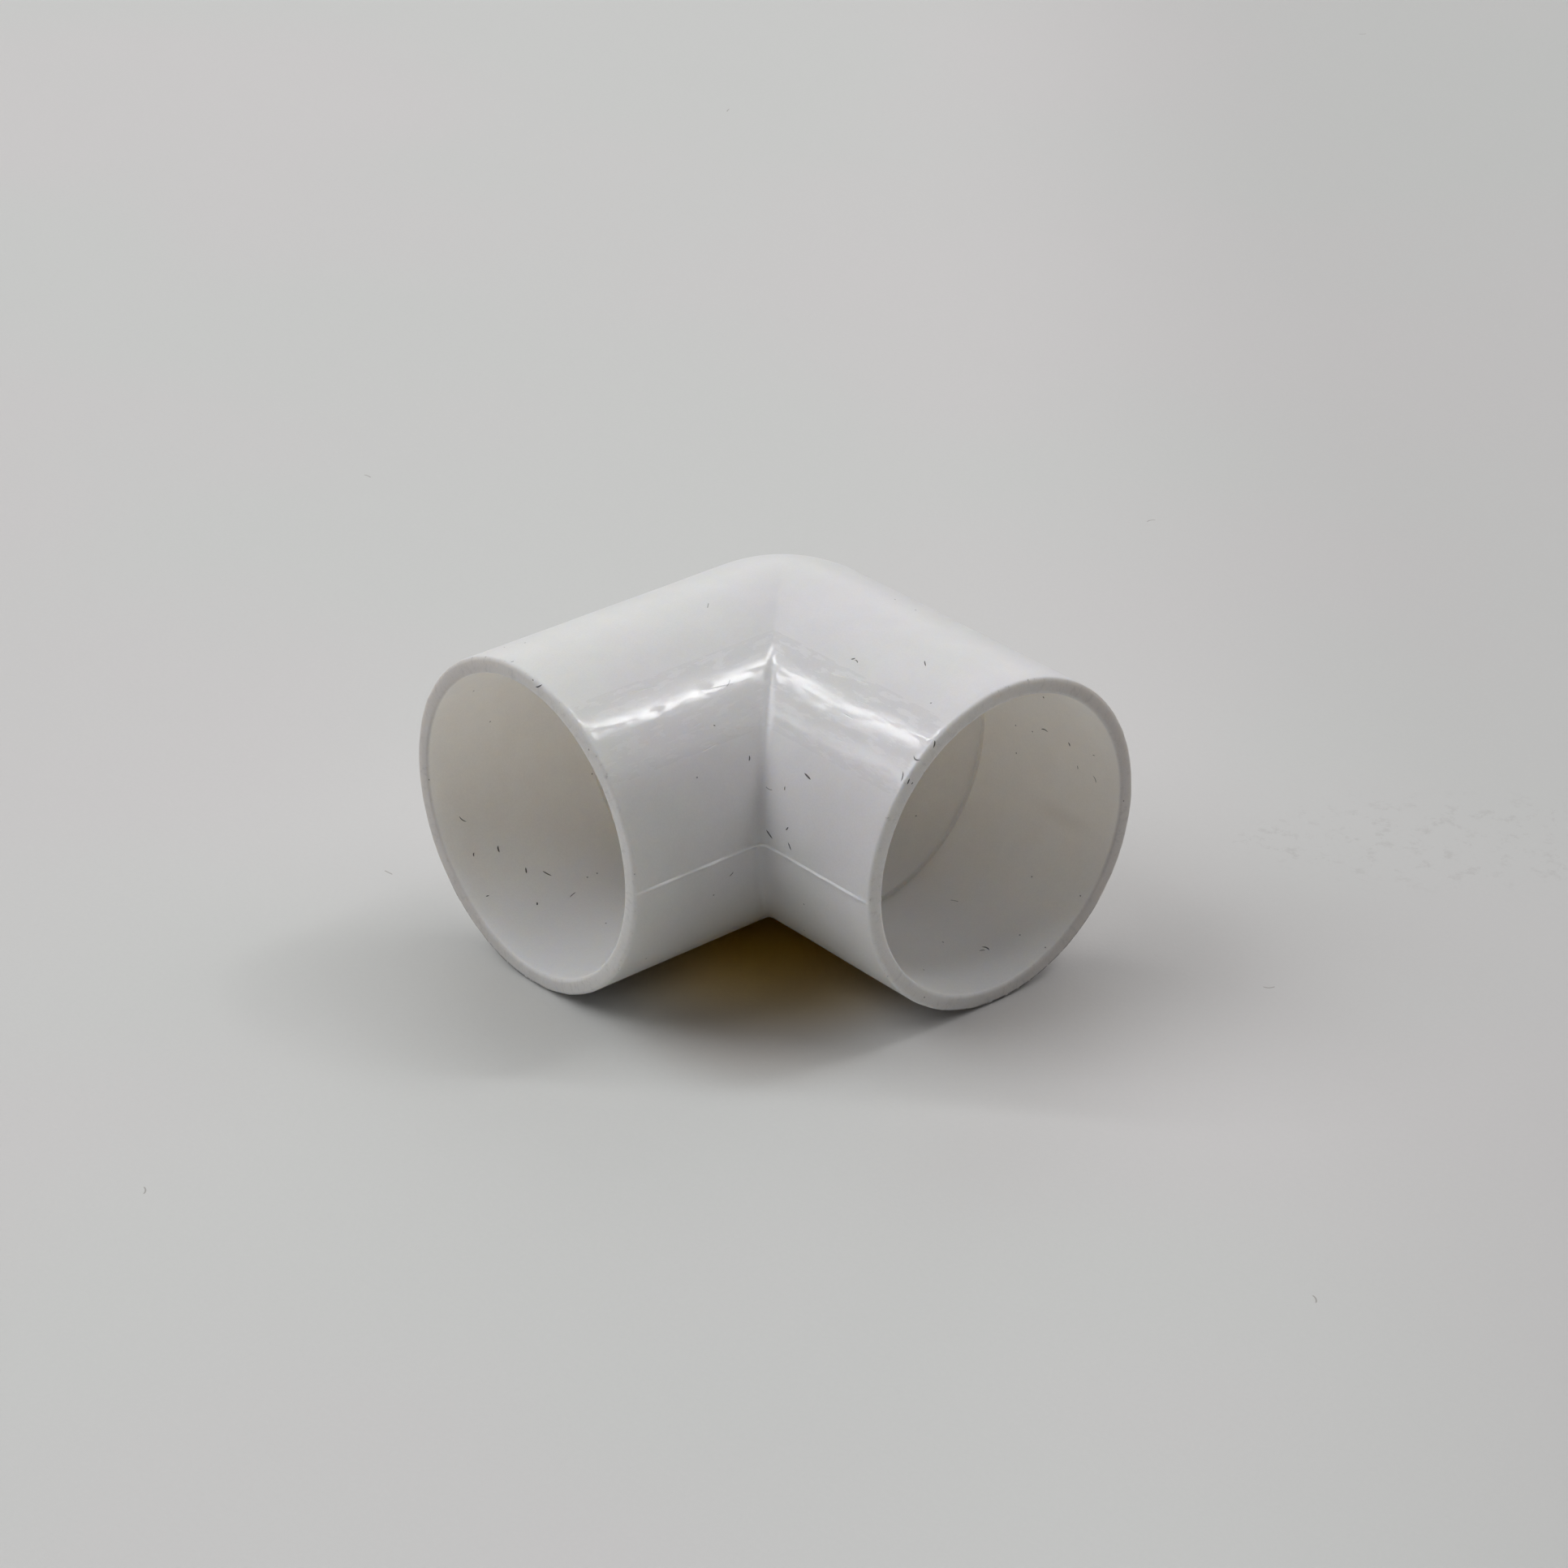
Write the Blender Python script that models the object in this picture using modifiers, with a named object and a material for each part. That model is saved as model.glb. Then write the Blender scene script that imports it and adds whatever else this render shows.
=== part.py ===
"""Ninety-degree slip elbow for 25 mm PVC pipe, moulded in one piece.

The elbow lies flat on one side, as it would on a bench.  Its sockets open
along +X and -Y, and the origin is on the bench under the middle of the
bounding box.  All lengths are in metres.
"""
import math

import bpy

MM = 0.001

# Driving dimensions
BARREL_RADIUS = 14.0 * MM        # outside of both arms, the same from corner to rim
CENTRE_TO_RIM = 26.7 * MM        # from the point where the two axes cross
MOUTH_RADIUS = 12.65 * MM        # socket at its mouth, just under the lead-in
ROOT_RADIUS = 12.55 * MM         # socket at the pipe stop, so the pipe wedges home
WATERWAY_RADIUS = 12.1 * MM      # bore beyond the stop, through the corner
CENTRE_TO_STOP = 10.8 * MM       # face that the cut end of a pipe comes to rest on
LEAD_IN = 0.3 * MM               # chamfer that guides the pipe in
RIM_ROUND = 0.35 * MM            # rounded outer edge of the rim

# Fineness of the turned surfaces
TURN_STEPS = 64
QUARTER_STEPS = TURN_STEPS // 4
RIM_ROUND_STEPS = 3
WELD_DISTANCE = 0.00005

# Semi-gloss white PVC
PVC_COLOUR = (0.83, 0.84, 0.83, 1.0)
PVC_ROUGHNESS = 0.34
PVC_IOR = 1.53


def clear_scene():
    for old_object in list(bpy.data.objects):
        bpy.data.objects.remove(old_object, do_unlink=True)


def new_collection(name):
    collection = bpy.data.collections.new(name)
    bpy.context.scene.collection.children.link(collection)
    return collection


def white_pvc():
    material = bpy.data.materials.new("white_pvc")
    material.use_nodes = True
    shader = material.node_tree.nodes["Principled BSDF"]
    shader.inputs["Base Color"].default_value = PVC_COLOUR
    shader.inputs["Roughness"].default_value = PVC_ROUGHNESS
    shader.inputs["Metallic"].default_value = 0.0
    shader.inputs["IOR"].default_value = PVC_IOR
    material.diffuse_color = PVC_COLOUR
    return material


def arc(centre_r, centre_z, radius, start_deg, end_deg, steps):
    """Points (r, z) on a circular arc, with angles measured from +r towards +z."""
    points = []
    for step in range(steps + 1):
        angle = math.radians(start_deg + (end_deg - start_deg) * step / steps)
        points.append((centre_r + radius * math.cos(angle), centre_z + radius * math.sin(angle)))
    return points


def arm_section():
    """Wall of one arm as (r, z), with z along the arm's axis towards the mouth.

    The line starts at the inner pole of the domed end, climbs the bore to
    the rim, and comes down the outside to the outer pole.
    """
    inner_dome = arc(0.0, 0.0, WATERWAY_RADIUS, -90, 0, QUARTER_STEPS)
    stop_face = [
        (WATERWAY_RADIUS, CENTRE_TO_STOP),
        (ROOT_RADIUS, CENTRE_TO_STOP),
    ]
    lead_in = [
        (MOUTH_RADIUS, CENTRE_TO_RIM - LEAD_IN),
        (MOUTH_RADIUS + LEAD_IN, CENTRE_TO_RIM),
    ]
    rim_round = arc(
        BARREL_RADIUS - RIM_ROUND, CENTRE_TO_RIM - RIM_ROUND, RIM_ROUND, 90, 0, RIM_ROUND_STEPS
    )
    outer_dome = arc(0.0, 0.0, BARREL_RADIUS, 0, -90, QUARTER_STEPS)
    section = inner_dome + stop_face + lead_in + rim_round + outer_dome
    section[0] = (0.0, -WATERWAY_RADIUS)
    section[-1] = (0.0, -BARREL_RADIUS)
    return section


def mitre_guide(collection, centre):
    """Empty whose local X is square to the plane where the two arms meet."""
    guide = bpy.data.objects.new("mitre_guide", None)
    guide.empty_display_size = BARREL_RADIUS
    guide.location = centre
    guide.rotation_euler = (0.0, 0.0, math.radians(45))
    guide.hide_render = True
    collection.objects.link(guide)
    return guide


def elbow_body(collection, centre, guide):
    """Turn one domed arm along +X, cut it at the mitre and mirror it onto -Y."""
    section = arm_section()
    mesh = bpy.data.meshes.new("elbow_body")
    vertices = [(r, 0.0, z) for r, z in section]
    edges = [(i, i + 1) for i in range(len(section) - 1)]
    mesh.from_pydata(vertices, edges, [])

    body = bpy.data.objects.new("elbow_body", mesh)
    body.location = centre
    body.rotation_euler = (0.0, math.radians(90), 0.0)
    collection.objects.link(body)

    turn = body.modifiers.new("turned arm", "SCREW")
    turn.axis = "Z"
    turn.angle = math.tau
    turn.steps = TURN_STEPS
    turn.render_steps = TURN_STEPS
    turn.use_merge_vertices = True
    turn.merge_threshold = WELD_DISTANCE

    mirror = body.modifiers.new("second arm", "MIRROR")
    mirror.mirror_object = guide
    mirror.use_axis = (True, False, False)
    mirror.use_bisect_axis = (True, False, False)
    mirror.bisect_threshold = WELD_DISTANCE
    mirror.use_clip = True
    mirror.merge_threshold = WELD_DISTANCE
    return body


def finish_surface(body, material):
    """Apply the modifiers, then shade smooth with the real edges kept crisp."""
    bpy.context.view_layer.update()
    depsgraph = bpy.context.evaluated_depsgraph_get()
    shaped = bpy.data.meshes.new_from_object(body.evaluated_get(depsgraph))
    body.modifiers.clear()
    body.data = shaped
    shaped.materials.clear()
    shaped.materials.append(material)
    shaped.shade_smooth()
    shaped.set_sharp_from_angle(angle=math.radians(30))


def main():
    clear_scene()
    parts = new_collection("pvc_elbow_fitting")
    guides = new_collection("guides")
    reach = (CENTRE_TO_RIM - BARREL_RADIUS) / 2
    centre = (-reach, reach, BARREL_RADIUS)
    guide = mitre_guide(guides, centre)
    body = elbow_body(parts, centre, guide)
    finish_surface(body, white_pvc())


main()
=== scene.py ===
"""Looks of the white PVC slip elbow: a fine mesh of the moulding, its material, and a plain studio.

The elbow lies flat on one side.  One socket opens along +X and the other along -Y, and the arms'
axes cross at the middle of the domed corner.  Lengths are in metres.
"""

import math
import random
from types import SimpleNamespace

import bmesh
import bpy
import numpy as np
from mathutils import Matrix, Vector, noise


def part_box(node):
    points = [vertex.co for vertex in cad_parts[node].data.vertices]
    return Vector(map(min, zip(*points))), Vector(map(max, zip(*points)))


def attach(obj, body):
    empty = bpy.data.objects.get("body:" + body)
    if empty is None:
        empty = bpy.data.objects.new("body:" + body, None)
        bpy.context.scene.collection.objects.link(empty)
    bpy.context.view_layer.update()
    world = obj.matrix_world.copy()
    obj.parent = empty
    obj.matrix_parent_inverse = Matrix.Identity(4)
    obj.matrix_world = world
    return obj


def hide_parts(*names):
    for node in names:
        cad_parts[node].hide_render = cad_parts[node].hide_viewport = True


MM = 0.001

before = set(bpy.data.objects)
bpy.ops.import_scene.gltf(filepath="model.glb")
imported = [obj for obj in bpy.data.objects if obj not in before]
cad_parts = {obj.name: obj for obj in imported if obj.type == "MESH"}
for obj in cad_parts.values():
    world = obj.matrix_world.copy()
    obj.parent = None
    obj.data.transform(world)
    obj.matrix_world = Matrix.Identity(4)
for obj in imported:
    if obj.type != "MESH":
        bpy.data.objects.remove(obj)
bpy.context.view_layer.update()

# Sizes read from the frame
BOX_LOW, BOX_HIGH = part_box("elbow_body")
BARREL_RADIUS = (BOX_HIGH.z - BOX_LOW.z) / 2
CENTRE_TO_RIM = BOX_HIGH.x - BOX_LOW.x - BARREL_RADIUS
CENTRE = Vector((BOX_LOW.x + BARREL_RADIUS, BOX_HIGH.y - BARREL_RADIUS, BARREL_RADIUS))

# Sizes of the bore, as the solid has them
MOUTH_RADIUS = 12.65 * MM
ROOT_RADIUS = 12.55 * MM
WATERWAY_RADIUS = 12.1 * MM
CENTRE_TO_STOP = 10.8 * MM
LEAD_IN = 0.3 * MM
RIM_ROUND = 0.35 * MM
STOP_EDGE = 0.08 * MM            # worn corner of the pipe stop

# Fineness of the mesh
TURN_STEPS = 192
QUARTER_STEPS = TURN_STEPS // 4
ROW_LENGTH = 0.45 * MM
WELD_DISTANCE = 0.00001

# Flash left along the mould's parting line, at mid height on the outside
FLASH_HALF_WIDTH = 0.14 * MM
FLASH_HEIGHT = 0.2 * MM
FLASH_ROWS = (-1.0, -0.75, -0.5, -0.25, 0.25, 0.5, 0.75, 1.0)    # in units of the half width
FLASH_STOPS_SHORT = 0.5 * MM     # of the rim, where the edge has been dressed
WAVINESS = 0.03 * MM             # of the moulded skin
RIM_RAGGEDNESS = 0.05 * MM       # of the dressed rims

# Camera, with angles in degrees
CAMERA_AZIMUTH = 49.6
CAMERA_ELEVATION = 28.5
CAMERA_DISTANCE = 363 * MM
CAMERA_LENS = 101
SENSOR_WIDTH = 36.0
AIM = CENTRE + Vector((0.1, 0.1, -5.5)) * MM

# Fillet in the valley where the arms meet at the crotch
VALLEY_BLEND = 1.0 * MM
VALLEY_ROWS = (-1.0, -0.7, -0.4, -0.15, 0.15, 0.4, 0.7, 1.0)     # in units of the blend

# The surface unrolled onto a flat sheet, in millimetres: over the outside, the rim and down the bore
SHEET_NAME = "surface"
SECOND_ARM_START = 100.0         # where the -Y arm begins on the sheet
RIM_START = CENTRE_TO_RIM / MM
BORE_START = RIM_START + (BARREL_RADIUS - MOUTH_RADIUS) / MM
DEGREE = math.radians(BARREL_RADIUS / MM)      # millimetres of sheet in one degree round the arm

# Colours, linear
PVC_LAVENDER = (0.85, 0.835, 0.85, 1.0)
PVC_GREENISH = (0.845, 0.845, 0.83, 1.0)
# painted light: the bore warmer and paler than the skin for the glow through its wall, paler still on
# its floor
PVC_BORE_PAINTED_GLOW = (0.925, 0.885, 0.84, 1.0)
PVC_BORE_FLOOR_PAINTED_LIGHT = (0.985, 0.97, 0.955, 1.0)
PVC_RIM = (0.78, 0.77, 0.76, 1.0)
# painted shade: the rim darker on its far side from the crotch
PVC_RIM_PAINTED_SHADE = (0.70, 0.67, 0.65, 1.0)
SKIN_SCATTER = 1.0 * MM
BORE_SCATTER = 4.0 * MM          # on the bore's sides, to let light through the thin wall
# white of scratches and scuffs, and of the painted highlight along the flash
SCRATCH_AND_HIGHLIGHT_WHITE = (0.98, 0.98, 0.98, 1.0)
# dark of lint, specks, nicks and dirt, and of the painted contact shadow on the rims
LINT_DIRT_AND_SHADE_COLOUR = (0.05, 0.047, 0.05, 1.0)
FLOOR_PINKISH = (0.735, 0.715, 0.705, 1.0)
FLOOR_NEUTRAL = (0.725, 0.725, 0.705, 1.0)
# painted shade, deepening the shadow in the elbow's crotch
FLOOR_IN_PAINTED_SHADE = (0.60, 0.565, 0.53, 1.0)
FLOOR_IN_CROTCH = (0.95, 0.62, 0.10, 1.0)       # the photo's warm shadow, painted
HAIR_COLOUR = (0.16, 0.12, 0.10, 1.0)

# Places on the plastic: middle and half width of a band round the arm, in degrees
# (0 faces the crotch, 90 is the top, 180 the far side and -90 the bottom)
PAINTED_LIGHT_BORE_FLOOR = (-100, 85)          # painted light: paler and less translucent, to match the photo
SHADED_SKIN = (-22, 64)          # painted darker low in the crotch, to match the photo
RUBBED_SKIN = (51, 21)
SCRATCHED_SKIN = (52, 32)
RESTING_EDGE = (-110, 38)        # where dirt gathers on the rim, and painted contact shadow where it meets the floor
BORE_STREAK = (-161, 5)
RIM_PAINTED_SHADE_SPAN = (60, 140)       # degrees from the crotch where the rim's painted shade begins and ends

# Roughness
SKIN_ROUGHNESS = 0.36
RUBBED_SHINE = 0.23
BORE_DULLNESS = 0.16
RIM_DULLNESS = 0.24
SCUFF_DULLNESS = 0.15
DIRT_DULLNESS = 0.3

# Heights of the relief, in millimetres
PEEL_HEIGHT = 0.025
FLAKE_HEIGHT = 0.006
LANE_HEIGHT = 0.0003
DRESSING_HEIGHT = 0.006
MARK_HEIGHT = 0.03
NICK_DEPTH = 0.08

# Places on the floor, in millimetres
# painted shade in the elbow's crotch: darker round this place, warm round the origin
PAINTED_SHADE_PLACE = (10.0, -10.0, 0.0)
PAINTED_SHADE_REACH = (3.0, 13.0)
WARM_SHADOW_REACH = (2.5, 19.0)         # from the origin, of the painted warm shadow
SHADE_TO_RIGHT_REACH = (15.0, 65.0)     # towards the camera's right, over which painted shade darkens the board
FLOOR_SMUDGE = ((28.0, 55.0), 48.0, 46.0, 14.0)      # place, angle in degrees, length, width

# Zones where lint lies or the skin is scuffed: on the -Y arm or not, on the skin or in the bore,
# millimetres along, degrees round, how many marks, and whether they are scuffs.  Each mark's place
# and shape inside its zone are drawn at random.
MARK_ZONES = (
    (False, "skin", (13, 20), (68, 85), 3, False),        # top of the +X arm
    (False, "skin", (12, 18), (0, 50), 5, False),         # beside the valley
    (True, "skin", (12, 17), (-20, 45), 6, False),
    (False, "skin", (26, 28), (40, 58), 6, False),        # clump on the +X rim
    (False, "skin", (26, 27), (165, 178), 1, False),
    (True, "skin", (26, 27), (65, 100), 3, False),
    (False, "bore", (15, 24), (145, 180), 6, False),
    (False, "bore", (15, 23), (-105, -85), 3, False),
    (True, "bore", (18, 26), (-160, -105), 8, False),
    (False, "skin", (12, 22), (40, 66), 5, True),
    (True, "skin", (12, 20), (33, 68), 5, True),
)
MARK_SEED = 4
LINT_DARKNESS = 0.95
SCUFF_WHITENESS = -0.9           # below 0, to tell scuffs from lint
MARK_REACH = 0.9                 # millimetres past a mark's end that its faces go
MARK_PLACE, MARK_SHAPE, MARK_TONE = "mark_place", "mark_shape", "mark_tone"
STROKE_GROUP = "curved_stroke"

# Studio: the board, the pale wall round it, and soft lights
FLOOR_SIZE = 2.6
HORIZON_BEHIND = 0.25
HORIZON_IN_FRONT = 0.05
CEILING = 0.015
LIGHT_DISTANCE = 3.0
# A long bar lamp overhead, a little behind the elbow, which draws the bright band on each arm
BAR_ENDS = ((104.5, 50.1), (244.5, 40.7))       # degrees round from the camera, elevation
BAR_HEIGHT = 2.7
BAR_WIDTH = 0.2
BAR_IRRADIANCE = 1.35
# Name, degrees round from the camera, elevation, width and height in degrees, W/m2, colour
LIGHTS = (
    ("left_window", 276, 48, (32, 34), 1.15, (0.97, 0.98, 1.0)),
    ("bar_bright_end", 111, 52, (9, 4), 0.14, (0.98, 0.99, 1.0)),
    ("right_window", 97, 48, (34, 30), 0.28, (0.99, 0.99, 1.0)),
    ("right_back", 132, 48, (30, 30), 0.2, (0.99, 0.99, 1.0)),
    ("front_right", 42, 60, (24, 24), 0.15, (1.0, 0.99, 0.97)),
    ("back_high", 182, 42, (34, 24), 0.22, (0.98, 0.99, 1.0)),
    ("back_low", 180, 15, (40, 20), 0.26, (1.0, 0.98, 0.95)),
)


# ---------------------------------------------------------------- the moulding

def arc(centre_r, centre_z, radius, start_deg, end_deg, steps):
    """Points (r, z) on a circular arc, with angles measured from +r towards +z."""
    points = []
    for step in range(steps + 1):
        angle = math.radians(start_deg + (end_deg - start_deg) * step / steps)
        points.append((centre_r + radius * math.cos(angle), centre_z + radius * math.sin(angle)))
    return points


def run(start, end, step_length):
    """Points between two corners of the section, without the corners themselves."""
    gap = math.dist(start, end)
    count = max(1, round(gap / step_length))
    return [
        (start[0] + (end[0] - start[0]) * i / count, start[1] + (end[1] - start[1]) * i / count)
        for i in range(1, count)
    ]


def arm_section():
    """Wall of one arm as (r, z), from the bore's inner pole, over the rim, to the outer pole."""
    bore = arc(0.0, 0.0, WATERWAY_RADIUS, -90, 0, QUARTER_STEPS)
    stop = arc(
        WATERWAY_RADIUS + STOP_EDGE, CENTRE_TO_STOP - STOP_EDGE, STOP_EDGE, 180, 90, 3
    )
    root = [(ROOT_RADIUS, CENTRE_TO_STOP)]
    mouth_z = CENTRE_TO_RIM - LEAD_IN
    lead_in = arc(MOUTH_RADIUS + LEAD_IN, mouth_z, LEAD_IN, 180, 90, 5)
    rim = arc(BARREL_RADIUS - RIM_ROUND, CENTRE_TO_RIM - RIM_ROUND, RIM_ROUND, 90, 0, 6)
    dome = arc(0.0, 0.0, BARREL_RADIUS, 0, -90, QUARTER_STEPS)
    section = list(bore)
    section += run(bore[-1], stop[0], ROW_LENGTH) + stop + root
    section += run(root[-1], lead_in[0], ROW_LENGTH) + lead_in
    section += run(lead_in[-1], rim[0], LEAD_IN) + rim
    section += run(rim[-1], dome[0], ROW_LENGTH) + dome
    section[0] = (0.0, -WATERWAY_RADIUS)
    section[-1] = (0.0, -BARREL_RADIUS)
    return section


def turned_and_mitred():
    """One domed arm turned about its axis, cut at the mitre plane and mirrored onto the other arm."""
    section = arm_section()
    profile = bpy.data.meshes.new("arm_profile")
    profile.from_pydata(
        [(r, 0.0, z) for r, z in section], [(i, i + 1) for i in range(len(section) - 1)], []
    )
    draft = bpy.data.objects.new("arm_draft", profile)
    draft.location = CENTRE
    draft.rotation_euler = (0.0, math.radians(90), 0.0)
    guide = bpy.data.objects.new("mitre_guide", None)
    guide.location = CENTRE
    guide.rotation_euler = (0.0, 0.0, math.radians(45))
    for made in (draft, guide):
        bpy.context.scene.collection.objects.link(made)

    turn = draft.modifiers.new("turned arm", "SCREW")
    turn.axis = "Z"
    turn.steps = TURN_STEPS
    turn.render_steps = TURN_STEPS
    turn.use_merge_vertices = True
    turn.merge_threshold = WELD_DISTANCE
    mirror = draft.modifiers.new("second arm", "MIRROR")
    mirror.mirror_object = guide
    mirror.use_bisect_axis = (True, False, False)
    mirror.bisect_threshold = WELD_DISTANCE
    mirror.use_clip = True
    mirror.merge_threshold = WELD_DISTANCE

    bpy.context.view_layer.update()
    shaped = bpy.data.meshes.new_from_object(
        draft.evaluated_get(bpy.context.evaluated_depsgraph_get())
    )
    shaped.transform(draft.matrix_world)
    shaped.name = "elbow_moulding"
    for helper in (draft, guide):
        bpy.data.objects.remove(helper)
    bpy.data.meshes.remove(profile)
    return shaped


def arm_coordinates(points):
    """For points about the centre: distance along the nearer arm, the offset across it, height."""
    along_x = points[:, 0]
    along_y = -points[:, 1]
    on_x = along_x >= along_y
    along = np.where(on_x, along_x, along_y)
    across = np.where(on_x, along_y, along_x)
    return along, across, points[:, 2], on_x


def radial_distance(along, across, height):
    """Distance from the arm's axis, or from the centre where the corner is domed."""
    return np.sqrt(across**2 + height**2 + np.minimum(along, 0.0) ** 2)


def outer_share(point):
    """1 on the outside of the moulding and 0 in the bore."""
    local = np.array([tuple(point - CENTRE)])
    along, across, height, _ = arm_coordinates(local)
    middle = (BARREL_RADIUS + MOUTH_RADIUS) / 2
    return float(radial_distance(along, across, height)[0] > middle)


def score(cut, faces, point, normal):
    """Cuts one row across the faces, along a plane."""
    edges = {edge for face in faces for edge in face.edges}
    verts = {vert for face in faces for vert in face.verts}
    bmesh.ops.bisect_plane(
        cut, geom=list(faces) + list(edges) + list(verts), dist=WELD_DISTANCE / 2,
        plane_co=point, plane_no=normal,
    )


def score_details(mesh):
    """Cuts close rows for the flash at mid height and for the fillet in the crotch's valley."""
    cut = bmesh.new()
    cut.from_mesh(mesh)
    for offset in FLASH_ROWS:
        level = CENTRE.z + offset * FLASH_HALF_WIDTH
        near = [
            face for face in cut.faces
            if abs(face.calc_center_median().z - level) < BARREL_RADIUS / 10
            and outer_share(face.calc_center_median()) > 0.5
        ]
        score(cut, near, Vector((0.0, 0.0, level)), Vector((0.0, 0.0, 1.0)))
    mitre_normal = Vector((1.0, 1.0, 0.0)).normalized()
    for offset in VALLEY_ROWS:
        point = CENTRE + mitre_normal * offset * VALLEY_BLEND
        near = []
        for face in cut.faces:
            middle = face.calc_center_median() - CENTRE
            in_crotch = middle.x > 0.0 and middle.y < 0.0
            if in_crotch and abs(middle.dot(mitre_normal)) < 2 * VALLEY_BLEND:
                if outer_share(middle + CENTRE) > 0.5:
                    near.append(face)
        score(cut, near, point, mitre_normal)
    cut.to_mesh(mesh)
    cut.free()


def crotch_skin(points):
    """Distance from the outside of the joined arms, filleted in the valley, and the way out."""
    x, y, z = points.T
    reach_x = np.hypot(y, z)
    reach_y = np.hypot(x, z)
    nothing = np.zeros_like(x)
    out_x = np.stack([nothing, y / reach_x, z / reach_x], axis=1)
    out_y = np.stack([x / reach_y, nothing, z / reach_y], axis=1)
    openness = 1.0 - np.sum(out_x * out_y, axis=1)
    blend = np.maximum(VALLEY_BLEND * openness, WELD_DISTANCE)
    apart = reach_y - reach_x
    overlap = np.clip(blend - np.abs(apart), 0.0, None)
    distance = np.minimum(reach_x, reach_y) - BARREL_RADIUS - overlap**2 / (4 * blend)
    share = np.clip(0.5 + apart / (2 * blend), 0.0, 1.0)[:, None]
    out = share * out_x + (1.0 - share) * out_y
    return distance, out


def smooth(value, low, high):
    """0 below low, 1 above high, and a smooth step between."""
    t = np.clip((value - low) / (high - low), 0.0, 1.0)
    return t * t * (3.0 - 2.0 * t)


def flash_presence(along, on_x):
    """How much of the flash is left at each place: nearly all on the +X arm, patches on the other."""
    left = np.empty(len(along))
    for i, (distance, first_arm) in enumerate(zip(along / MM, on_x)):
        seed = 0.0 if first_arm else 37.0
        coarse = noise.noise(Vector((distance * 0.55, seed, 1.7)))
        fine = noise.noise(Vector((distance * 2.3, seed, 5.1)))
        if first_arm:
            left[i] = 0.75 + 0.35 * coarse + 0.2 * fine
        else:
            left[i] = 0.62 + 0.9 * coarse + 0.35 * fine
    return np.clip(left, 0.0, 1.0)


def shape_details(mesh):
    """Fillets the valley, raises the flash, and leaves the skin and rims as uneven as moulded."""
    count = len(mesh.vertices)
    points = np.empty(count * 3)
    mesh.vertices.foreach_get("co", points)
    points = points.reshape(count, 3) - np.array(CENTRE)
    along, across, height, on_x = arm_coordinates(points)
    reach = radial_distance(along, across, height)
    outside = reach > (BARREL_RADIUS + MOUTH_RADIUS) / 2
    crotch = outside & (points[:, 0] > 0.0) & (points[:, 1] < 0.0)
    crotch &= along < CENTRE_TO_RIM - 2 * RIM_ROUND

    filleted = points[crotch]
    for _ in range(3):
        distance, out = crotch_skin(filleted)
        filleted = filleted - out * (distance / np.sum(out * out, axis=1))[:, None]
    points[crotch] = filleted

    out = points * np.where(points * np.array([1, -1, 1]) < 0.0, 1.0, 0.0)
    out[:, 2] = points[:, 2]
    out[on_x, 1] = points[on_x, 1]
    out[~on_x, 0] = points[~on_x, 0]
    out[crotch] = crotch_skin(points[crotch])[1]
    out /= np.maximum(np.linalg.norm(out, axis=1), WELD_DISTANCE)[:, None]

    low = np.abs(height) < FLASH_HALF_WIDTH * 1.05
    ridge = outside & low & (along < CENTRE_TO_RIM - FLASH_STOPS_SHORT)
    crest = np.cos(np.clip(np.abs(height) / FLASH_HALF_WIDTH, 0.0, 1.0) * math.pi / 2)
    ends = smooth(CENTRE_TO_RIM - along, FLASH_STOPS_SHORT, 2.5 * FLASH_STOPS_SHORT)
    lift = np.zeros(count)
    lift[ridge] = (
        FLASH_HEIGHT * crest[ridge] * ends[ridge] * flash_presence(along[ridge], on_x[ridge])
    )
    wavy = np.array([
        noise.noise(Vector(point) * (0.13 / MM)) for point in points.tolist()
    ])
    ragged = np.array([
        noise.noise(Vector(point) * (1.1 / MM)) for point in points.tolist()
    ])
    at_edge = smooth(along, CENTRE_TO_RIM - 2 * RIM_ROUND, CENTRE_TO_RIM)
    lift += np.where(outside, WAVINESS * wavy, 0.0)
    lift += RIM_RAGGEDNESS * ragged * at_edge * np.where(outside, 1.0, 0.4)
    points += out * lift[:, None]
    points += np.array(CENTRE)
    points[:, 2] = np.maximum(points[:, 2], 0.0)
    mesh.vertices.foreach_set("co", points.ravel())
    mesh.update()


def unroll(mesh):
    """Lays the skin out on a sheet in millimetres: along the arm, over the rim and down the bore."""
    sheet = mesh.uv_layers.new(name=SHEET_NAME)
    centre = np.array(CENTRE)
    for face in mesh.polygons:
        local = np.array([tuple(mesh.vertices[v].co) for v in face.vertices]) - centre
        middle = local.mean(axis=0)
        on_x = middle[0] >= -middle[1]
        if on_x:
            along, across = local[:, 0], -local[:, 1]
        else:
            along, across = -local[:, 1], local[:, 0]
        reach = radial_distance(along, across, local[:, 2])
        over_rim = (CENTRE_TO_RIM + BARREL_RADIUS - reach) / MM
        in_bore = reach < MOUTH_RADIUS + LEAD_IN + WELD_DISTANCE
        u = np.where(
            in_bore, over_rim + (CENTRE_TO_RIM - along) / MM, (along + BARREL_RADIUS - reach) / MM
        )
        around = np.degrees(np.arctan2(local[:, 2], across))
        if around.max() - around.min() > 180.0:
            around = np.where(around < 0.0, around + 360.0, around)
        u = u + (0.0 if on_x else SECOND_ARM_START)
        for loop, place in zip(face.loop_indices, zip(u, around * DEGREE)):
            sheet.data[loop].uv = place


def on_sheet(second_arm, place, along, around):
    """Sheet position of a spot given along the arm in millimetres and round it in degrees."""
    start = SECOND_ARM_START if second_arm else 0.0
    if place == "bore":
        along = BORE_START + RIM_START - along
    return start + along, around * DEGREE


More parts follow.
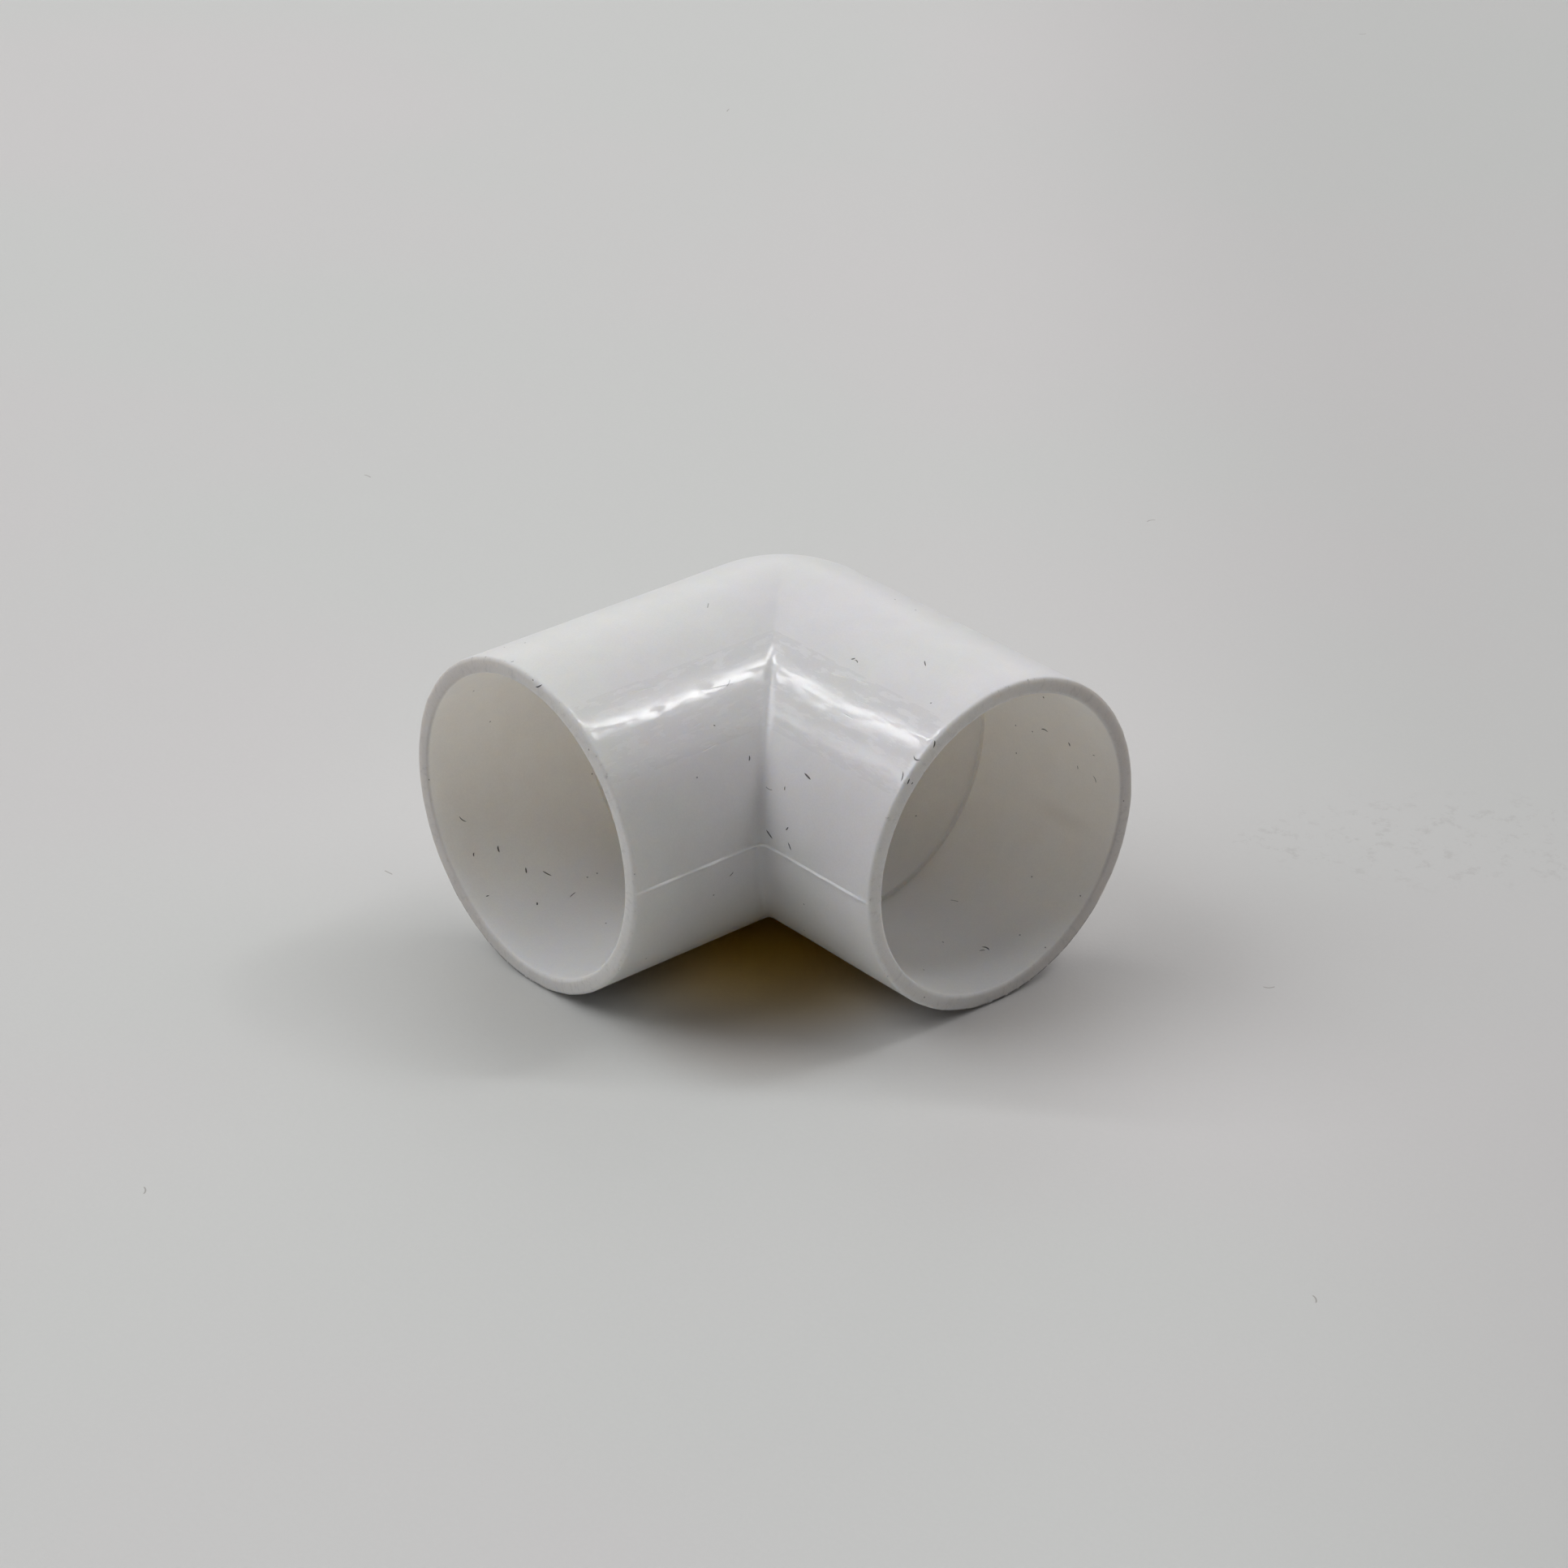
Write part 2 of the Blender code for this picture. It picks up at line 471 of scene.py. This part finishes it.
def drawn_marks():
    """Short curved lint and long straight scuffs, drawn at random inside their zones."""
    draw = random.Random(MARK_SEED)
    for second_arm, side, along, around, count, scuffed in MARK_ZONES:
        for _ in range(count):
            at = on_sheet(second_arm, side, draw.uniform(*along), draw.uniform(*around))
            if scuffed:
                shape = (draw.uniform(0.7, 3.5), draw.uniform(0.05, 0.09), 0.0)
                yield at, draw.uniform(-8, 8), shape, SCUFF_WHITENESS
            else:
                shape = (draw.uniform(0.2, 1.0), draw.uniform(0.06, 0.14), draw.uniform(-1.2, 1.2))
                yield at, draw.uniform(-80, 80), shape, LINT_DARKNESS


def store_marks(mesh):
    """Keeps on each face the lint or scratch nearest to it, for the material to draw."""
    corners = len(mesh.loops)
    sheet = np.empty(corners * 2)
    mesh.uv_layers[SHEET_NAME].data.foreach_get("uv", sheet)
    sheet = sheet.reshape(corners, 2)
    owner = np.repeat(
        np.arange(len(mesh.polygons)), [len(face.vertices) for face in mesh.polygons]
    )
    faces = np.bincount(owner)
    middle = np.stack([np.bincount(owner, sheet[:, i]) / faces for i in (0, 1)], axis=1)
    place = np.full((len(faces), 3), -SECOND_ARM_START)
    shape = np.tile((0.1, 0.01, 0.0), (len(faces), 1))
    tone = np.zeros(len(faces))
    nearest = np.full(len(faces), np.inf)
    for at, angle, (length, width, bend), strength in drawn_marks():
        away = np.linalg.norm(middle - np.array(at), axis=1) - length / 2
        closer = (away < nearest) & (away < MARK_REACH)
        nearest[closer] = away[closer]
        place[closer] = (at[0], at[1], math.radians(-angle))
        shape[closer] = (length / 2, width / 2, bend)
        tone[closer] = strength
    for name, kind, field, values in (
        (MARK_PLACE, "FLOAT_VECTOR", "vector", place), (MARK_SHAPE, "FLOAT_VECTOR", "vector", shape),
        (MARK_TONE, "FLOAT", "value", tone),
    ):
        stored = mesh.attributes.new(name, kind, "CORNER")
        stored.data.foreach_set(field, values[owner].ravel())


def build_moulding():
    mesh = turned_and_mitred()
    score_details(mesh)
    shape_details(mesh)
    unroll(mesh)
    store_marks(mesh)
    moulding = bpy.data.objects.new("elbow_moulding", mesh)
    bpy.context.scene.collection.objects.link(moulding)
    mesh.shade_smooth()
    mesh.set_sharp_from_angle(angle=math.radians(50))
    return moulding


# ---------------------------------------------------------------- materials

class Graph:
    """Short calls for building one node tree."""

    def __init__(self, tree):
        self.tree = tree

    def feed(self, socket, value):
        if isinstance(value, bpy.types.NodeSocket):
            self.tree.links.new(value, socket)
        else:
            socket.default_value = value

    def add(self, kind, inputs, **settings):
        node = self.tree.nodes.new(kind)
        for name, value in settings.items():
            setattr(node, name, value)
        for key, value in inputs.items():
            self.feed(node.inputs[key], value)
        return node

    def math(self, operation, *values, clamp=False):
        return self.add(
            "ShaderNodeMath", dict(enumerate(values)), operation=operation, use_clamp=clamp
        ).outputs[0]

    def vector(self, operation, *values):
        node = self.add("ShaderNodeVectorMath", {}, operation=operation)
        for socket, value in zip(node.inputs, values):
            self.feed(socket, value)
        return node.outputs[0]

    def scaled(self, vector, factors):
        return self.vector("MULTIPLY", vector, factors)

    def step(self, value, low, high, start=0.0, end=1.0):
        """Smooth step from start to end while the value goes from low to high."""
        return self.add("ShaderNodeMapRange", {
            "Value": value, "From Min": low, "From Max": high, "To Min": start, "To Max": end,
        }, interpolation_type="SMOOTHSTEP").outputs[0]

    def band(self, value, middle, half_width):
        """1 in the middle of a band, falling smoothly to 0 at its sides."""
        away = self.math("ABSOLUTE", self.math("SUBTRACT", value, middle))
        return self.step(away, 0.0, half_width, 1.0, 0.0)

    def round_band(self, around, place):
        """A band round the arm, from its middle and half width in degrees."""
        middle, half_width = place
        return self.band(around, middle * DEGREE, half_width * DEGREE)

    def product(self, *values):
        result = values[0]
        for value in values[1:]:
            result = self.math("MULTIPLY", result, value)
        return result

    def total(self, *values):
        result = values[0]
        for value in values[1:]:
            result = self.math("ADD", result, value)
        return result

    def most(self, values):
        result = values[0]
        for value in values[1:]:
            result = self.math("MAXIMUM", result, value)
        return result

    def noise(self, vector, scale, detail=2.0, roughness=0.5):
        return self.add("ShaderNodeTexNoise", {
            "Vector": vector, "Scale": scale, "Detail": detail, "Roughness": roughness,
        }).outputs[0]

    def mix(self, factor, first, second, blend="MIX"):
        return self.add(
            "ShaderNodeMix", {0: factor, 6: first, 7: second}, data_type="RGBA", blend_type=blend
        ).outputs[2]

    def darkened(self, colour, shade):
        """The colour multiplied by a grey shade."""
        grey = self.add("ShaderNodeCombineColor", {0: shade, 1: shade, 2: shade}).outputs[0]
        return self.mix(1.0, colour, grey, "MULTIPLY")

    def stroke(self, sheet, at, angle, length, width, bend=0.0):
        """Mask of one short curved stroke on the sheet, in millimetres and degrees."""
        return self.add("ShaderNodeGroup", {
            "Sheet": sheet, "At": (at[0], at[1], 0.0), "Angle": math.radians(-angle),
            "Half length": length / 2, "Half width": width / 2, "Bend": bend,
        }, node_tree=stroke_group()).outputs[0]


def stroke_group():
    """Node group that masks one stroke: a parabola with tapering ends."""
    if STROKE_GROUP in bpy.data.node_groups:
        return bpy.data.node_groups[STROKE_GROUP]
    tree = bpy.data.node_groups.new(STROKE_GROUP, "ShaderNodeTree")
    face = tree.interface
    face.new_socket("Sheet", in_out="INPUT", socket_type="NodeSocketVector")
    face.new_socket("At", in_out="INPUT", socket_type="NodeSocketVector")
    for name in ("Angle", "Half length", "Half width", "Bend"):
        face.new_socket(name, in_out="INPUT", socket_type="NodeSocketFloat")
    face.new_socket("Mask", in_out="OUTPUT", socket_type="NodeSocketFloat")
    graph = Graph(tree)
    given = tree.nodes.new("NodeGroupInput").outputs
    local = graph.vector("SUBTRACT", given["Sheet"], given["At"])
    turned = graph.add(
        "ShaderNodeVectorRotate", {"Vector": local, "Angle": given["Angle"]},
        rotation_type="Z_AXIS",
    ).outputs[0]
    parts = graph.add("ShaderNodeSeparateXYZ", {0: turned}).outputs
    curve = graph.product(given["Bend"], parts[0], parts[0])
    off_line = graph.math("ABSOLUTE", graph.math("SUBTRACT", parts[1], curve))
    from_middle = graph.math(
        "DIVIDE", graph.math("ABSOLUTE", parts[0]), given["Half length"]
    )
    taper = graph.step(from_middle, 0.4, 1.0, 1.0, 0.25)
    width = graph.math("MULTIPLY", given["Half width"], taper)
    across = graph.math("DIVIDE", off_line, width)
    mask = graph.product(
        graph.step(across, 0.6, 1.5, 1.0, 0.0), graph.step(from_middle, 0.9, 1.0, 1.0, 0.0)
    )
    leaving = tree.nodes.new("NodeGroupOutput")
    graph.feed(leaving.inputs["Mask"], mask)
    return tree


def stored_marks(graph, sheet):
    """The mark kept on each face, drawn on the sheet: dark above 0, white below."""
    place = graph.add("ShaderNodeAttribute", {}, attribute_name=MARK_PLACE).outputs["Vector"]
    shape = graph.add("ShaderNodeAttribute", {}, attribute_name=MARK_SHAPE).outputs["Vector"]
    tone = graph.add("ShaderNodeAttribute", {}, attribute_name=MARK_TONE).outputs["Fac"]
    sizes = graph.add("ShaderNodeSeparateXYZ", {0: shape}).outputs
    angle = graph.add("ShaderNodeSeparateXYZ", {0: place}).outputs[2]
    mask = graph.add("ShaderNodeGroup", {
        "Sheet": sheet, "At": place, "Angle": angle,
        "Half length": sizes[0], "Half width": sizes[1], "Bend": sizes[2],
    }, node_tree=stroke_group()).outputs[0]
    return graph.math("MULTIPLY", mask, tone)


def scattered_lint(graph, sheet, cell, density, half_length, half_width, seed):
    """Sparse curved fibres at random places on the sheet, one to a cell of the given size."""
    moved = graph.vector("ADD", sheet, (seed, seed * 0.7, 0.0))
    cells = graph.add(
        "ShaderNodeTexVoronoi", {"Vector": moved, "Scale": 1.0 / cell}, voronoi_dimensions="2D"
    )
    chance = graph.add("ShaderNodeSeparateColor", {0: cells.outputs["Color"]}).outputs
    local = graph.vector("SUBTRACT", moved, cells.outputs["Position"])
    turned = graph.add("ShaderNodeVectorRotate", {
        "Vector": local, "Angle": graph.math("MULTIPLY", chance[0], math.tau),
    }, rotation_type="Z_AXIS").outputs[0]
    parts = graph.add("ShaderNodeSeparateXYZ", {0: turned}).outputs
    bend = graph.math("MULTIPLY_ADD", chance[2], 1.6, -0.8)
    curve = graph.product(bend, parts[0], parts[0])
    off_line = graph.math("ABSOLUTE", graph.math("SUBTRACT", parts[1], curve))
    return graph.product(
        graph.step(off_line, half_width * 0.5, half_width * 1.4, 1.0, 0.0),
        graph.step(
            graph.math("ABSOLUTE", parts[0]), half_length * 0.8, half_length, 1.0, 0.0
        ),
        graph.math("GREATER_THAN", chance[1], 1.0 - density),
    )


def in_millimetres(graph):
    """Object coordinates, in millimetres."""
    position = graph.add("ShaderNodeTexCoord", {}).outputs["Object"]
    return graph.scaled(position, (1 / MM,) * 3)


def new_material(name):
    """A node material, with its graph and its shader."""
    material = bpy.data.materials.new(name)
    material.use_nodes = True
    return material, Graph(material.node_tree), material.node_tree.nodes["Principled BSDF"]


def pvc_places(graph):
    """Where a point of the plastic lies, as masks and as coordinates on the sheet."""
    sheet = graph.add("ShaderNodeUVMap", {}, uv_map=SHEET_NAME).outputs[0]
    flat = graph.add("ShaderNodeSeparateXYZ", {0: sheet}).outputs
    second_arm = graph.math("GREATER_THAN", flat[0], SECOND_ARM_START * 0.8)
    along = graph.math("MULTIPLY_ADD", second_arm, -SECOND_ARM_START, flat[0])
    around = flat[1]
    in_bore = graph.step(along, BORE_START - 0.1, BORE_START + 0.3)
    outside = graph.step(along, RIM_START - 0.4, RIM_START + 0.1, 1.0, 0.0)
    not_outside = graph.math("SUBTRACT", 1.0, outside)
    return SimpleNamespace(
        sheet=sheet, solid=in_millimetres(graph), second_arm=second_arm,
        along=along, around=around, in_bore=in_bore, outside=outside,
        on_rim=graph.math("SUBTRACT", not_outside, in_bore, clamp=True),
        painted_light_bore_floor=graph.round_band(around, PAINTED_LIGHT_BORE_FLOOR),
        rubbed=graph.math("MULTIPLY", outside, graph.step(
            graph.round_band(around, RUBBED_SKIN), 0.0, 0.5)),
        lanes=graph.noise(graph.scaled(sheet, (0.35, 9.0, 1.0)), 1.0, 2.0, 0.6),
        ragged=graph.noise(graph.scaled(sheet, (1.0, 1.6, 1.0)), 1.0, 3.0, 0.7),
    )


def plastic_colour(graph, at):
    """Colour of the plastic with faint broad tints, and painted light: flash highlight, bore glow,
    rim shade.
    """
    tint = graph.noise(at.solid, 0.07, 2.0)
    skin = graph.mix(graph.step(tint, 0.35, 0.65), PVC_LAVENDER, PVC_GREENISH)
    # painted light: the bore's glow, and a paler floor
    bore = graph.mix(at.painted_light_bore_floor, PVC_BORE_PAINTED_GLOW, PVC_BORE_FLOOR_PAINTED_LIGHT)
    begins, ends = RIM_PAINTED_SHADE_SPAN
    # painted shade on the rim's far side from the crotch
    far_side_shade = graph.step(
        graph.math("ABSOLUTE", at.around), begins * DEGREE, ends * DEGREE
    )
    rim = graph.mix(far_side_shade, PVC_RIM, PVC_RIM_PAINTED_SHADE)
    colour = graph.mix(at.on_rim, graph.mix(at.in_bore, skin, bore), rim)
    # painted highlight along the flash ridge
    flash = graph.product(
        graph.band(at.around, 0.0, 1.5 * FLASH_HALF_WIDTH / MM), at.outside
    )
    return graph.mix(flash, colour, SCRATCH_AND_HIGHLIGHT_WHITE)


def light_marks(graph, at, marks):
    """Lengthwise scratches and scuffs on the outside."""
    patches = graph.step(
        graph.noise(graph.scaled(at.sheet, (0.25, 0.4, 1.0)), 1.0, 1.0), 0.45, 0.6
    )
    scratched = graph.product(
        graph.step(at.lanes, 0.66, 0.72), patches, at.outside,
        graph.round_band(at.around, SCRATCHED_SKIN),
    )
    scuffs = graph.math("MULTIPLY", marks, -1.0, clamp=True)
    return graph.math("MAXIMUM", graph.math("MULTIPLY", scratched, 0.35), scuffs)


def rim_nicks(graph, at):
    """Small nicks in the outer edge of the rim."""
    edge = graph.band(at.along, RIM_START - 0.1, 0.25)
    return graph.product(edge, graph.step(at.ragged, 0.64, 0.7))


def dark_marks(graph, at, marks, nicks):
    """Lint, specks, and dirt with painted contact shadow on the rim near where it rests."""
    lint = graph.most([
        graph.math("MAXIMUM", marks, 0.0),
        graph.math("MULTIPLY", scattered_lint(graph, at.sheet, 8.5, 0.3, 0.4, 0.04, 3.0), 0.5),
        graph.math("MULTIPLY", scattered_lint(graph, at.sheet, 5.0, 0.25, 0.08, 0.06, 11.0), 0.7),
    ])
    resting = graph.round_band(at.around, RESTING_EDGE)
    # dirt and painted contact shadow along the rim's resting edge
    dirt = graph.product(
        graph.band(at.along, RIM_START + 0.05, 0.35),
        graph.step(resting, 0.05, 0.3), graph.step(at.ragged, 0.38, 0.5),
    )
    return graph.most([lint, dirt, graph.math("MULTIPLY", nicks, 0.6)])


def plastic_shade(graph, at):
    """Grain and clouding, and the greyer places: smears, stop line, streak, and painted shade low in
    the crotch.
    """
    clouding = graph.step(graph.noise(at.solid, 0.35, 3.0, 0.6), 0.3, 0.7, 0.975, 1.0)
    grain = graph.step(graph.noise(at.solid, 7.0, 1.0), 0.3, 0.7, 0.97, 1.0)
    smear = graph.product(at.on_rim, graph.step(at.ragged, 0.5, 0.75))
    stop_at = BORE_START + RIM_START - CENTRE_TO_STOP / MM
    stop_line = graph.band(at.along, stop_at + 0.2, 0.35)
    streak = graph.product(
        graph.round_band(at.around, BORE_STREAK), graph.math("SUBTRACT", 1.0, at.second_arm),
        graph.band(at.along, BORE_START + RIM_START - 21.0, 5.5),
    )
    # painted shade, darker low in the crotch
    crotch_painted_shade = graph.product(
        graph.round_band(at.around, SHADED_SKIN), at.outside,
        graph.step(at.along, RIM_START - 7.0, RIM_START, 1.0, 0.35),
    )
    greyed = graph.total(
        graph.math("MULTIPLY", smear, 0.14), graph.math("MULTIPLY", stop_line, 0.05),
        graph.math("MULTIPLY", streak, 0.07), graph.math("MULTIPLY", crotch_painted_shade, 0.14),
    )
    return graph.product(clouding, grain, graph.math("SUBTRACT", 1.0, greyed))


def plastic_gloss(graph, at, bright, dark):
    """Roughness, lowest in flecks along the band that gets rubbed."""
    mottle = graph.noise(graph.scaled(at.sheet, (0.45, 1.7, 1.0)), 1.0, 3.0, 0.6)
    shiny = graph.math("MULTIPLY", graph.step(mottle, 0.52, 0.57, 1.0, 0.2), at.rubbed)
    return graph.total(
        graph.math("MULTIPLY_ADD", shiny, -RUBBED_SHINE, SKIN_ROUGHNESS),
        graph.math("MULTIPLY", at.in_bore, BORE_DULLNESS),
        graph.math("MULTIPLY", at.on_rim, RIM_DULLNESS),
        graph.math("MULTIPLY", bright, SCUFF_DULLNESS),
        graph.math("MULTIPLY", dark, DIRT_DULLNESS),
    )


def plastic_relief(graph, at, marks, nicks):
    """Height of the skin in millimetres."""
    peel = graph.noise(graph.scaled(at.sheet, (0.35, 0.55, 1.0)), 1.0, 1.0)
    flakes = graph.noise(graph.scaled(at.sheet, (0.5, 1.5, 1.0)), 1.0, 0.0)
    dressing = graph.noise(graph.scaled(at.sheet, (7.0, 0.6, 1.0)), 1.0, 2.0, 0.6)
    return graph.total(
        graph.product(peel, PEEL_HEIGHT), graph.product(flakes, at.rubbed, FLAKE_HEIGHT),
        graph.product(at.lanes, at.rubbed, LANE_HEIGHT),
        graph.product(dressing, at.on_rim, DRESSING_HEIGHT),
        graph.product(marks, MARK_HEIGHT), graph.product(nicks, -NICK_DEPTH),
    )


def pvc_material():
    """White PVC: translucent, mottled gloss, lengthwise scratches, lint, dirty dressed rims, painted
    light and shade.
    """
    material, graph, shader = new_material("white_pvc")
    at = pvc_places(graph)
    marks = stored_marks(graph, at.sheet)
    nicks = rim_nicks(graph, at)
    bright = light_marks(graph, at, marks)
    dark = dark_marks(graph, at, marks, nicks)

    colour = graph.darkened(plastic_colour(graph, at), plastic_shade(graph, at))
    colour = graph.mix(graph.math("MULTIPLY", bright, 0.7), colour, SCRATCH_AND_HIGHLIGHT_WHITE)
    graph.feed(shader.inputs["Base Color"], graph.mix(dark, colour, LINT_DIRT_AND_SHADE_COLOUR))
    graph.feed(shader.inputs["Roughness"], plastic_gloss(graph, at, bright, dark))
    relief = plastic_relief(graph, at, marks, nicks)
    bump = graph.add("ShaderNodeBump", {"Strength": 1.0, "Distance": MM, "Height": relief})
    graph.feed(shader.inputs["Normal"], bump.outputs[0])

    shader.inputs["IOR"].default_value = 1.53
    shader.inputs["Subsurface Weight"].default_value = 1.0
    shader.inputs["Subsurface Radius"].default_value = (1.0, 0.9, 0.75)
    lit_through = graph.math(
        "MULTIPLY", at.in_bore, graph.math("MULTIPLY_ADD", at.painted_light_bore_floor, -0.8, 1.0)
    )
    scatter = graph.math(
        "MULTIPLY_ADD", lit_through, BORE_SCATTER - SKIN_SCATTER, SKIN_SCATTER
    )
    graph.feed(shader.inputs["Subsurface Scale"], scatter)
    return material


def board_colour(graph, board, tint):
    """Faint tints, and a painted shadow in the elbow's crotch, darker and warm."""
    colour = graph.mix(graph.step(tint, 0.38, 0.62), FLOOR_PINKISH, FLOOR_NEUTRAL)
    from_painted_shade = graph.add(
        "ShaderNodeVectorMath", {0: board, 1: PAINTED_SHADE_PLACE}, operation="DISTANCE"
    ).outputs["Value"]
    colour = graph.mix(graph.step(from_painted_shade, *PAINTED_SHADE_REACH, 1.0, 0.0), colour, FLOOR_IN_PAINTED_SHADE)
    from_origin = graph.add(
        "ShaderNodeVectorMath", {0: board}, operation="LENGTH"
    ).outputs["Value"]
    return graph.mix(graph.step(from_origin, *WARM_SHADOW_REACH, 1.0, 0.0), colour, FLOOR_IN_CROTCH)


def floor_material():
    """Pale matt board with broad faint tints, painted shade darker to the right, a smudge and hairs.
    """
    material, graph, shader = new_material("pale_floor")
    board = in_millimetres(graph)
    tint = graph.noise(board, 0.013, 2.0)
    across = graph.add("ShaderNodeVectorMath", {
        0: board, 1: tuple(from_bench(CAMERA_AZIMUTH + 90.0, 0.0)),
    }, operation="DOT_PRODUCT").outputs["Value"]
    grain = graph.step(graph.noise(board, 2.5, 3.0, 0.7), 0.25, 0.75, 0.985, 1.0)
    # painted shade: the board darker towards the camera's right
    grain = graph.math("MULTIPLY", graph.step(across, *SHADE_TO_RIGHT_REACH, 1.0, 0.89), grain)
    smudges = graph.product(
        graph.stroke(board, *FLOOR_SMUDGE),
        graph.step(graph.noise(board, 0.5, 5.0, 0.75), 0.52, 0.66),
    )
    hairs = graph.math("MULTIPLY", scattered_lint(graph, board, 44.0, 0.4, 0.5, 0.06, 5.0), 0.5)
    dark = graph.math("MAXIMUM", hairs, graph.math("MULTIPLY", smudges, 0.12))
    colour = graph.darkened(board_colour(graph, board, tint), grain)
    graph.feed(shader.inputs["Base Color"], graph.mix(dark, colour, HAIR_COLOUR))
    graph.feed(shader.inputs["Roughness"], graph.step(tint, 0.3, 0.7, 0.5, 0.62))
    bump = graph.add("ShaderNodeBump", {"Strength": 0.3, "Distance": MM, "Height": grain})
    graph.feed(shader.inputs["Normal"], bump.outputs[0])
    return material


# ---------------------------------------------------------------- studio

def add_floor():
    bpy.ops.mesh.primitive_plane_add(size=FLOOR_SIZE)
    floor = bpy.context.object
    floor.name = "floor"
    floor.data.materials.append(floor_material())
    return floor


def from_bench(azimuth_deg, elevation_deg):
    """Unit vector from the elbow towards a light, with azimuth counted like the camera's."""
    azimuth = math.radians(azimuth_deg)
    elevation = math.radians(elevation_deg)
    return Vector((
        math.sin(azimuth) * math.cos(elevation),
        -math.cos(azimuth) * math.cos(elevation),
        math.sin(elevation),
    ))


def add_panel(name, from_camera, elevation, spread, irradiance, colour):
    """A soft rectangle of the given angular size that faces the elbow."""
    data = bpy.data.lights.new(name, "AREA")
    data.shape = "RECTANGLE"
    data.size = 2 * LIGHT_DISTANCE * math.tan(math.radians(spread[0] / 2))
    data.size_y = 2 * LIGHT_DISTANCE * math.tan(math.radians(spread[1] / 2))
    data.energy = irradiance * math.pi * LIGHT_DISTANCE**2
    data.color = colour
    panel = bpy.data.objects.new(name, data)
    direction = from_bench(CAMERA_AZIMUTH + from_camera, elevation)
    panel.location = CENTRE + direction * LIGHT_DISTANCE
    panel.rotation_mode = "QUATERNION"
    panel.rotation_quaternion = direction.to_track_quat("Z", "Y")
    panel.visible_camera = False
    bpy.context.scene.collection.objects.link(panel)
    return panel


def add_bar(name, ends, height, width, irradiance, colour):
    """A bar lamp hung level between two directions seen from the elbow, facing the elbow."""
    first, last = (
        CENTRE + from_bench(CAMERA_AZIMUTH + azimuth, elevation)
        * (height / math.sin(math.radians(elevation)))
        for azimuth, elevation in ends
    )
    middle = (first + last) / 2
    away = middle - CENTRE
    data = bpy.data.lights.new(name, "AREA")
    data.shape = "RECTANGLE"
    data.size = (last - first).length
    data.size_y = width
    data.energy = irradiance * math.pi * away.length_squared
    data.color = colour
    bar = bpy.data.objects.new(name, data)
    axis_z = away.normalized()
    axis_y = axis_z.cross(last - first).normalized()
    axis_x = axis_y.cross(axis_z)
    bar.matrix_world = Matrix.LocRotScale(
        middle, Matrix((axis_x, axis_y, axis_z)).transposed().to_quaternion(), None
    )
    bar.visible_camera = False
    bpy.context.scene.collection.objects.link(bar)
    return bar


def add_camera():
    data = bpy.data.cameras.new("camera")
    data.lens = CAMERA_LENS
    data.sensor_width = SENSOR_WIDTH
    data.clip_start = CAMERA_DISTANCE / 100
    data.clip_end = CAMERA_DISTANCE * 100
    camera = bpy.data.objects.new("camera", data)
    back = from_bench(CAMERA_AZIMUTH, CAMERA_ELEVATION)
    camera.location = AIM + back * CAMERA_DISTANCE
    camera.rotation_mode = "QUATERNION"
    camera.rotation_quaternion = (-back).to_track_quat("-Z", "Y")
    bpy.context.scene.collection.objects.link(camera)
    bpy.context.scene.camera = camera
    return camera


def add_world():
    """A pale horizon, brighter behind the elbow than on the camera's side, under a dim ceiling."""
    world = bpy.data.worlds.new("studio")
    world.use_nodes = True
    graph = Graph(world.node_tree)
    background = world.node_tree.nodes["Background"]
    towards = graph.add("ShaderNodeTexCoord", {}).outputs["Generated"]
    height = graph.add("ShaderNodeSeparateXYZ", {0: towards}).outputs[2]
    facing = graph.add("ShaderNodeVectorMath", {
        0: towards, 1: tuple(from_bench(CAMERA_AZIMUTH, 0.0)),
    }, operation="DOT_PRODUCT").outputs["Value"]
    wall = graph.step(facing, -0.2, 0.6, HORIZON_BEHIND, HORIZON_IN_FRONT)
    low = graph.step(height, 0.09, 0.16, 1.0, 0.0)
    strength = graph.math("MULTIPLY_ADD", wall, low, CEILING)
    background.inputs["Color"].default_value = (0.98, 0.99, 1.0, 1.0)
    graph.feed(background.inputs["Strength"], strength)
    bpy.context.scene.world = world


add_camera()
add_floor()
add_world()
add_bar("overhead_bar", BAR_ENDS, BAR_HEIGHT, BAR_WIDTH, BAR_IRRADIANCE, (0.98, 0.99, 1.0))
for light in LIGHTS:
    add_panel(*light)
bpy.context.scene.view_settings.view_transform = "Standard"
moulding = build_moulding()
moulding.data.materials.clear()
moulding.data.materials.append(pvc_material())
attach(moulding, "root")
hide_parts("elbow_body")
